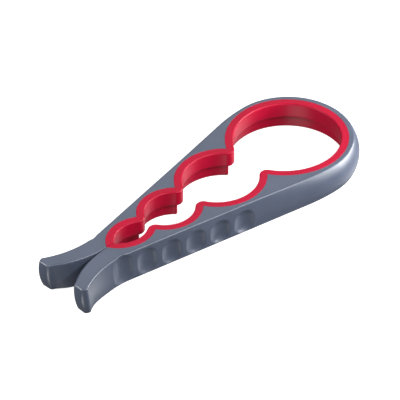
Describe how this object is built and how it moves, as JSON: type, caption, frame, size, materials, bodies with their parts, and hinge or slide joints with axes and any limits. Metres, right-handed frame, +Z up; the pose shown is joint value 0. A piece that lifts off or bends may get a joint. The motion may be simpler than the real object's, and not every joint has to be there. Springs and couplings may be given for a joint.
{
  "type": "jar opener",
  "caption": "Springy teardrop jar and bottle opener: a plastic loop with flared handles, finger dimples and a soft two-step liner forming opposed round grips.",
  "frame": {"origin": "centre of the bounding box at the underside", "axes": "+X from the handles towards the round bow, +Z up through the openings, +Y towards the left arm"},
  "size_m": [0.2288, 0.0854, 0.0195],
  "materials": {
    "frame": "satin slate-grey moulded plastic",
    "liner": "soft satin red elastomer"
  },
  "bodies": {
    "bow": {"frame_bow": "frame", "liner_bow": "liner"},
    "right_arm": {"frame_right_arm": "frame", "liner_right_arm": "liner"},
    "left_arm": {"frame_left_arm": "frame", "liner_left_arm": "liner"}
  },
  "joints": [
    {"name": "right_spread", "type": "hinge", "parent": "bow", "child": "right_arm", "pos_m": [0.0997, -0.028, 0.00975], "axis": [0, 0, 1], "range_deg": [0, 7], "stiffness_Nm_per_rad": 6},
    {"name": "left_spread", "type": "hinge", "parent": "bow", "child": "left_arm", "pos_m": [0.0997, 0.028, 0.00975], "axis": [0, 0, -1], "range_deg": [0, 7], "stiffness_Nm_per_rad": 6}
  ],
  "couplings": [
    {"joint": "left_spread", "follows": "right_spread", "ratio": 1}
  ]
}
